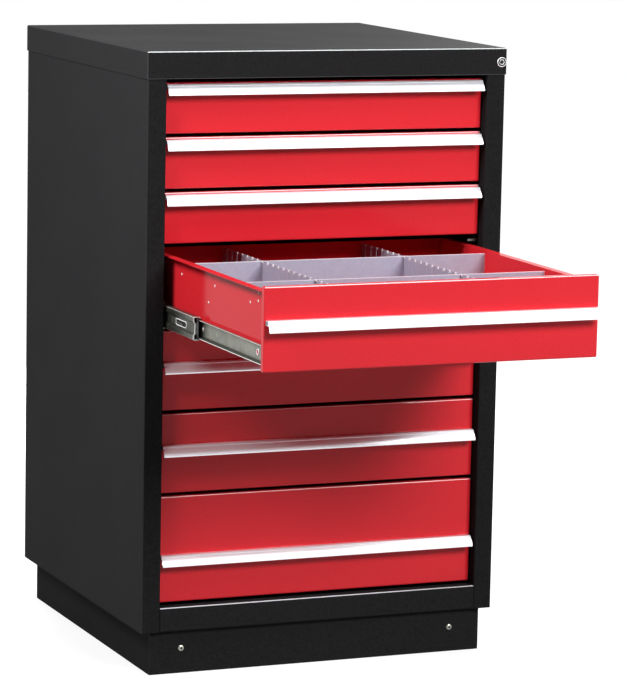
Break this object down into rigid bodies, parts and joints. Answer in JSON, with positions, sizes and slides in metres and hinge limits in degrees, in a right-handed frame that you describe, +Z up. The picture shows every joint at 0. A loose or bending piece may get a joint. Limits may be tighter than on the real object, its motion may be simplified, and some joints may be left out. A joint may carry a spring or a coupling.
{
  "type": "industrial drawer cabinet",
  "caption": "Steel workshop drawer cabinet with a black housing on a plinth, red drawers on ball-bearing slides with full-width aluminium pulls, one drawer open",
  "frame": {"origin": "centre of the whole object's bounding box at floor level, with the fourth drawer out", "axes": "+Z up through the cover's top, +Y from the drawer fronts to the back panel, +X to the lock side"},
  "size_m": [0.718, 1.2112, 1.16],
  "materials": {
    "black_paint": "satin black powder coat",
    "red_paint": "semi-gloss red powder coat",
    "aluminium": "satin anodised extrusion",
    "zinc_steel": "zinc-plated steel",
    "galvanised_steel": "galvanised sheet steel",
    "chrome": "bright chrome",
    "black_plastic": "moulded black plastic with steel balls"
  },
  "bodies": {
    "cabinet": {"back_panel": "black_paint", "cabinet_floor": "black_paint", "front_rail": "black_paint", "left_side_panel": "black_paint", "lock_body": "chrome", "plinth_frame": "black_paint", "plinth_front_panel": "black_paint", "plinth_screw_left": "zinc_steel", "plinth_screw_right": "zinc_steel", "right_side_panel": "black_paint", "slide_4_outer_left": "zinc_steel", "slide_4_outer_right": "zinc_steel", "slide_rack_left": "black_paint", "slide_rack_right": "black_paint", "top_cover": "black_paint"},
    "drawer_1": {"drawer_1_box": "red_paint", "drawer_1_front": "red_paint", "drawer_1_pull": "aluminium"},
    "slide_middle_1": {"slide_1_middle_left": "zinc_steel", "slide_1_middle_right": "zinc_steel"},
    "drawer_2": {"drawer_2_box": "red_paint", "drawer_2_front": "red_paint", "drawer_2_pull": "aluminium"},
    "slide_middle_2": {"slide_2_middle_left": "zinc_steel", "slide_2_middle_right": "zinc_steel"},
    "drawer_3": {"drawer_3_box": "red_paint", "drawer_3_front": "red_paint", "drawer_3_pull": "aluminium"},
    "slide_middle_3": {"slide_3_middle_left": "zinc_steel", "slide_3_middle_right": "zinc_steel"},
    "slide_cage_4": {"slide_4_cage_left": "black_plastic", "slide_4_cage_right": "black_plastic"},
    "drawer_4": {"drawer_4_box": "red_paint", "drawer_4_front": "red_paint", "drawer_4_pull": "aluminium", "slide_4_inner_left": "zinc_steel", "slide_4_inner_right": "zinc_steel", "partition_left": "galvanised_steel", "partition_right": "galvanised_steel", "divider_front": "galvanised_steel", "divider_rear": "galvanised_steel"},
    "slide_middle_4": {"slide_4_middle_left": "zinc_steel", "slide_4_middle_right": "zinc_steel"},
    "drawer_5": {"drawer_5_box": "red_paint", "drawer_5_front": "red_paint", "drawer_5_pull": "aluminium"},
    "slide_middle_5": {"slide_5_middle_left": "zinc_steel", "slide_5_middle_right": "zinc_steel"},
    "drawer_6": {"drawer_6_box": "red_paint", "drawer_6_front": "red_paint", "drawer_6_pull": "aluminium"},
    "slide_middle_6": {"slide_6_middle_left": "zinc_steel", "slide_6_middle_right": "zinc_steel"},
    "drawer_7": {"drawer_7_box": "red_paint", "drawer_7_front": "red_paint", "drawer_7_pull": "aluminium"},
    "slide_middle_7": {"slide_7_middle_left": "zinc_steel", "slide_7_middle_right": "zinc_steel"},
    "lock_plug": {"lock_plug": "chrome"},
    "lock_bar": {"lock_bar": "zinc_steel"}
  },
  "joints": [
    {"name": "drawer_1_slide", "type": "slide", "parent": "cabinet", "child": "drawer_1", "axis": [0, -1, 0], "range_m": [0, 0.61]},
    {"name": "slide_middle_1_slide", "type": "slide", "parent": "cabinet", "child": "slide_middle_1", "axis": [0, -1, 0], "range_m": [0, 0.305]},
    {"name": "drawer_2_slide", "type": "slide", "parent": "cabinet", "child": "drawer_2", "axis": [0, -1, 0], "range_m": [0, 0.61]},
    {"name": "slide_middle_2_slide", "type": "slide", "parent": "cabinet", "child": "slide_middle_2", "axis": [0, -1, 0], "range_m": [0, 0.305]},
    {"name": "drawer_3_slide", "type": "slide", "parent": "cabinet", "child": "drawer_3", "axis": [0, -1, 0], "range_m": [0, 0.61]},
    {"name": "slide_middle_3_slide", "type": "slide", "parent": "cabinet", "child": "slide_middle_3", "axis": [0, -1, 0], "range_m": [0, 0.305]},
    {"name": "drawer_4_slide", "type": "slide", "parent": "cabinet", "child": "drawer_4", "axis": [0, -1, 0], "range_m": [-0.508, 0.102]},
    {"name": "slide_middle_4_slide", "type": "slide", "parent": "cabinet", "child": "slide_middle_4", "axis": [0, -1, 0], "range_m": [-0.17374, 0.03488]},
    {"name": "slide_cage_4_slide", "type": "slide", "parent": "cabinet", "child": "slide_cage_4", "axis": [0, -1, 0], "range_m": [-0.34087, 0.06844]},
    {"name": "drawer_5_slide", "type": "slide", "parent": "cabinet", "child": "drawer_5", "axis": [0, -1, 0], "range_m": [0, 0.61]},
    {"name": "slide_middle_5_slide", "type": "slide", "parent": "cabinet", "child": "slide_middle_5", "axis": [0, -1, 0], "range_m": [0, 0.305]},
    {"name": "drawer_6_slide", "type": "slide", "parent": "cabinet", "child": "drawer_6", "axis": [0, -1, 0], "range_m": [0, 0.61]},
    {"name": "slide_middle_6_slide", "type": "slide", "parent": "cabinet", "child": "slide_middle_6", "axis": [0, -1, 0], "range_m": [0, 0.305]},
    {"name": "drawer_7_slide", "type": "slide", "parent": "cabinet", "child": "drawer_7", "axis": [0, -1, 0], "range_m": [0, 0.61]},
    {"name": "slide_middle_7_slide", "type": "slide", "parent": "cabinet", "child": "slide_middle_7", "axis": [0, -1, 0], "range_m": [0, 0.305]},
    {"name": "lock_bar_slide", "type": "slide", "parent": "cabinet", "child": "lock_bar", "axis": [0, 0, -1], "range_m": [0, 0.005]},
    {"name": "lock_plug_turn", "type": "hinge", "parent": "cabinet", "child": "lock_plug", "pos_m": [0.347, -0.0994, 1.1336], "axis": [0, -1, 0], "range_deg": [0, 90]}
  ],
  "couplings": [
    {"joint": "slide_middle_1_slide", "follows": "drawer_1_slide", "ratio": 0.5},
    {"joint": "slide_middle_2_slide", "follows": "drawer_2_slide", "ratio": 0.5},
    {"joint": "slide_middle_3_slide", "follows": "drawer_3_slide", "ratio": 0.5},
    {"joint": "slide_middle_4_slide", "follows": "drawer_4_slide", "ratio": 0.342},
    {"joint": "slide_cage_4_slide", "follows": "drawer_4_slide", "ratio": 0.671},
    {"joint": "slide_middle_5_slide", "follows": "drawer_5_slide", "ratio": 0.5},
    {"joint": "slide_middle_6_slide", "follows": "drawer_6_slide", "ratio": 0.5},
    {"joint": "slide_middle_7_slide", "follows": "drawer_7_slide", "ratio": 0.5},
    {"joint": "lock_plug_turn", "follows": "lock_bar_slide", "rad_per_m": 314.15}
  ]
}
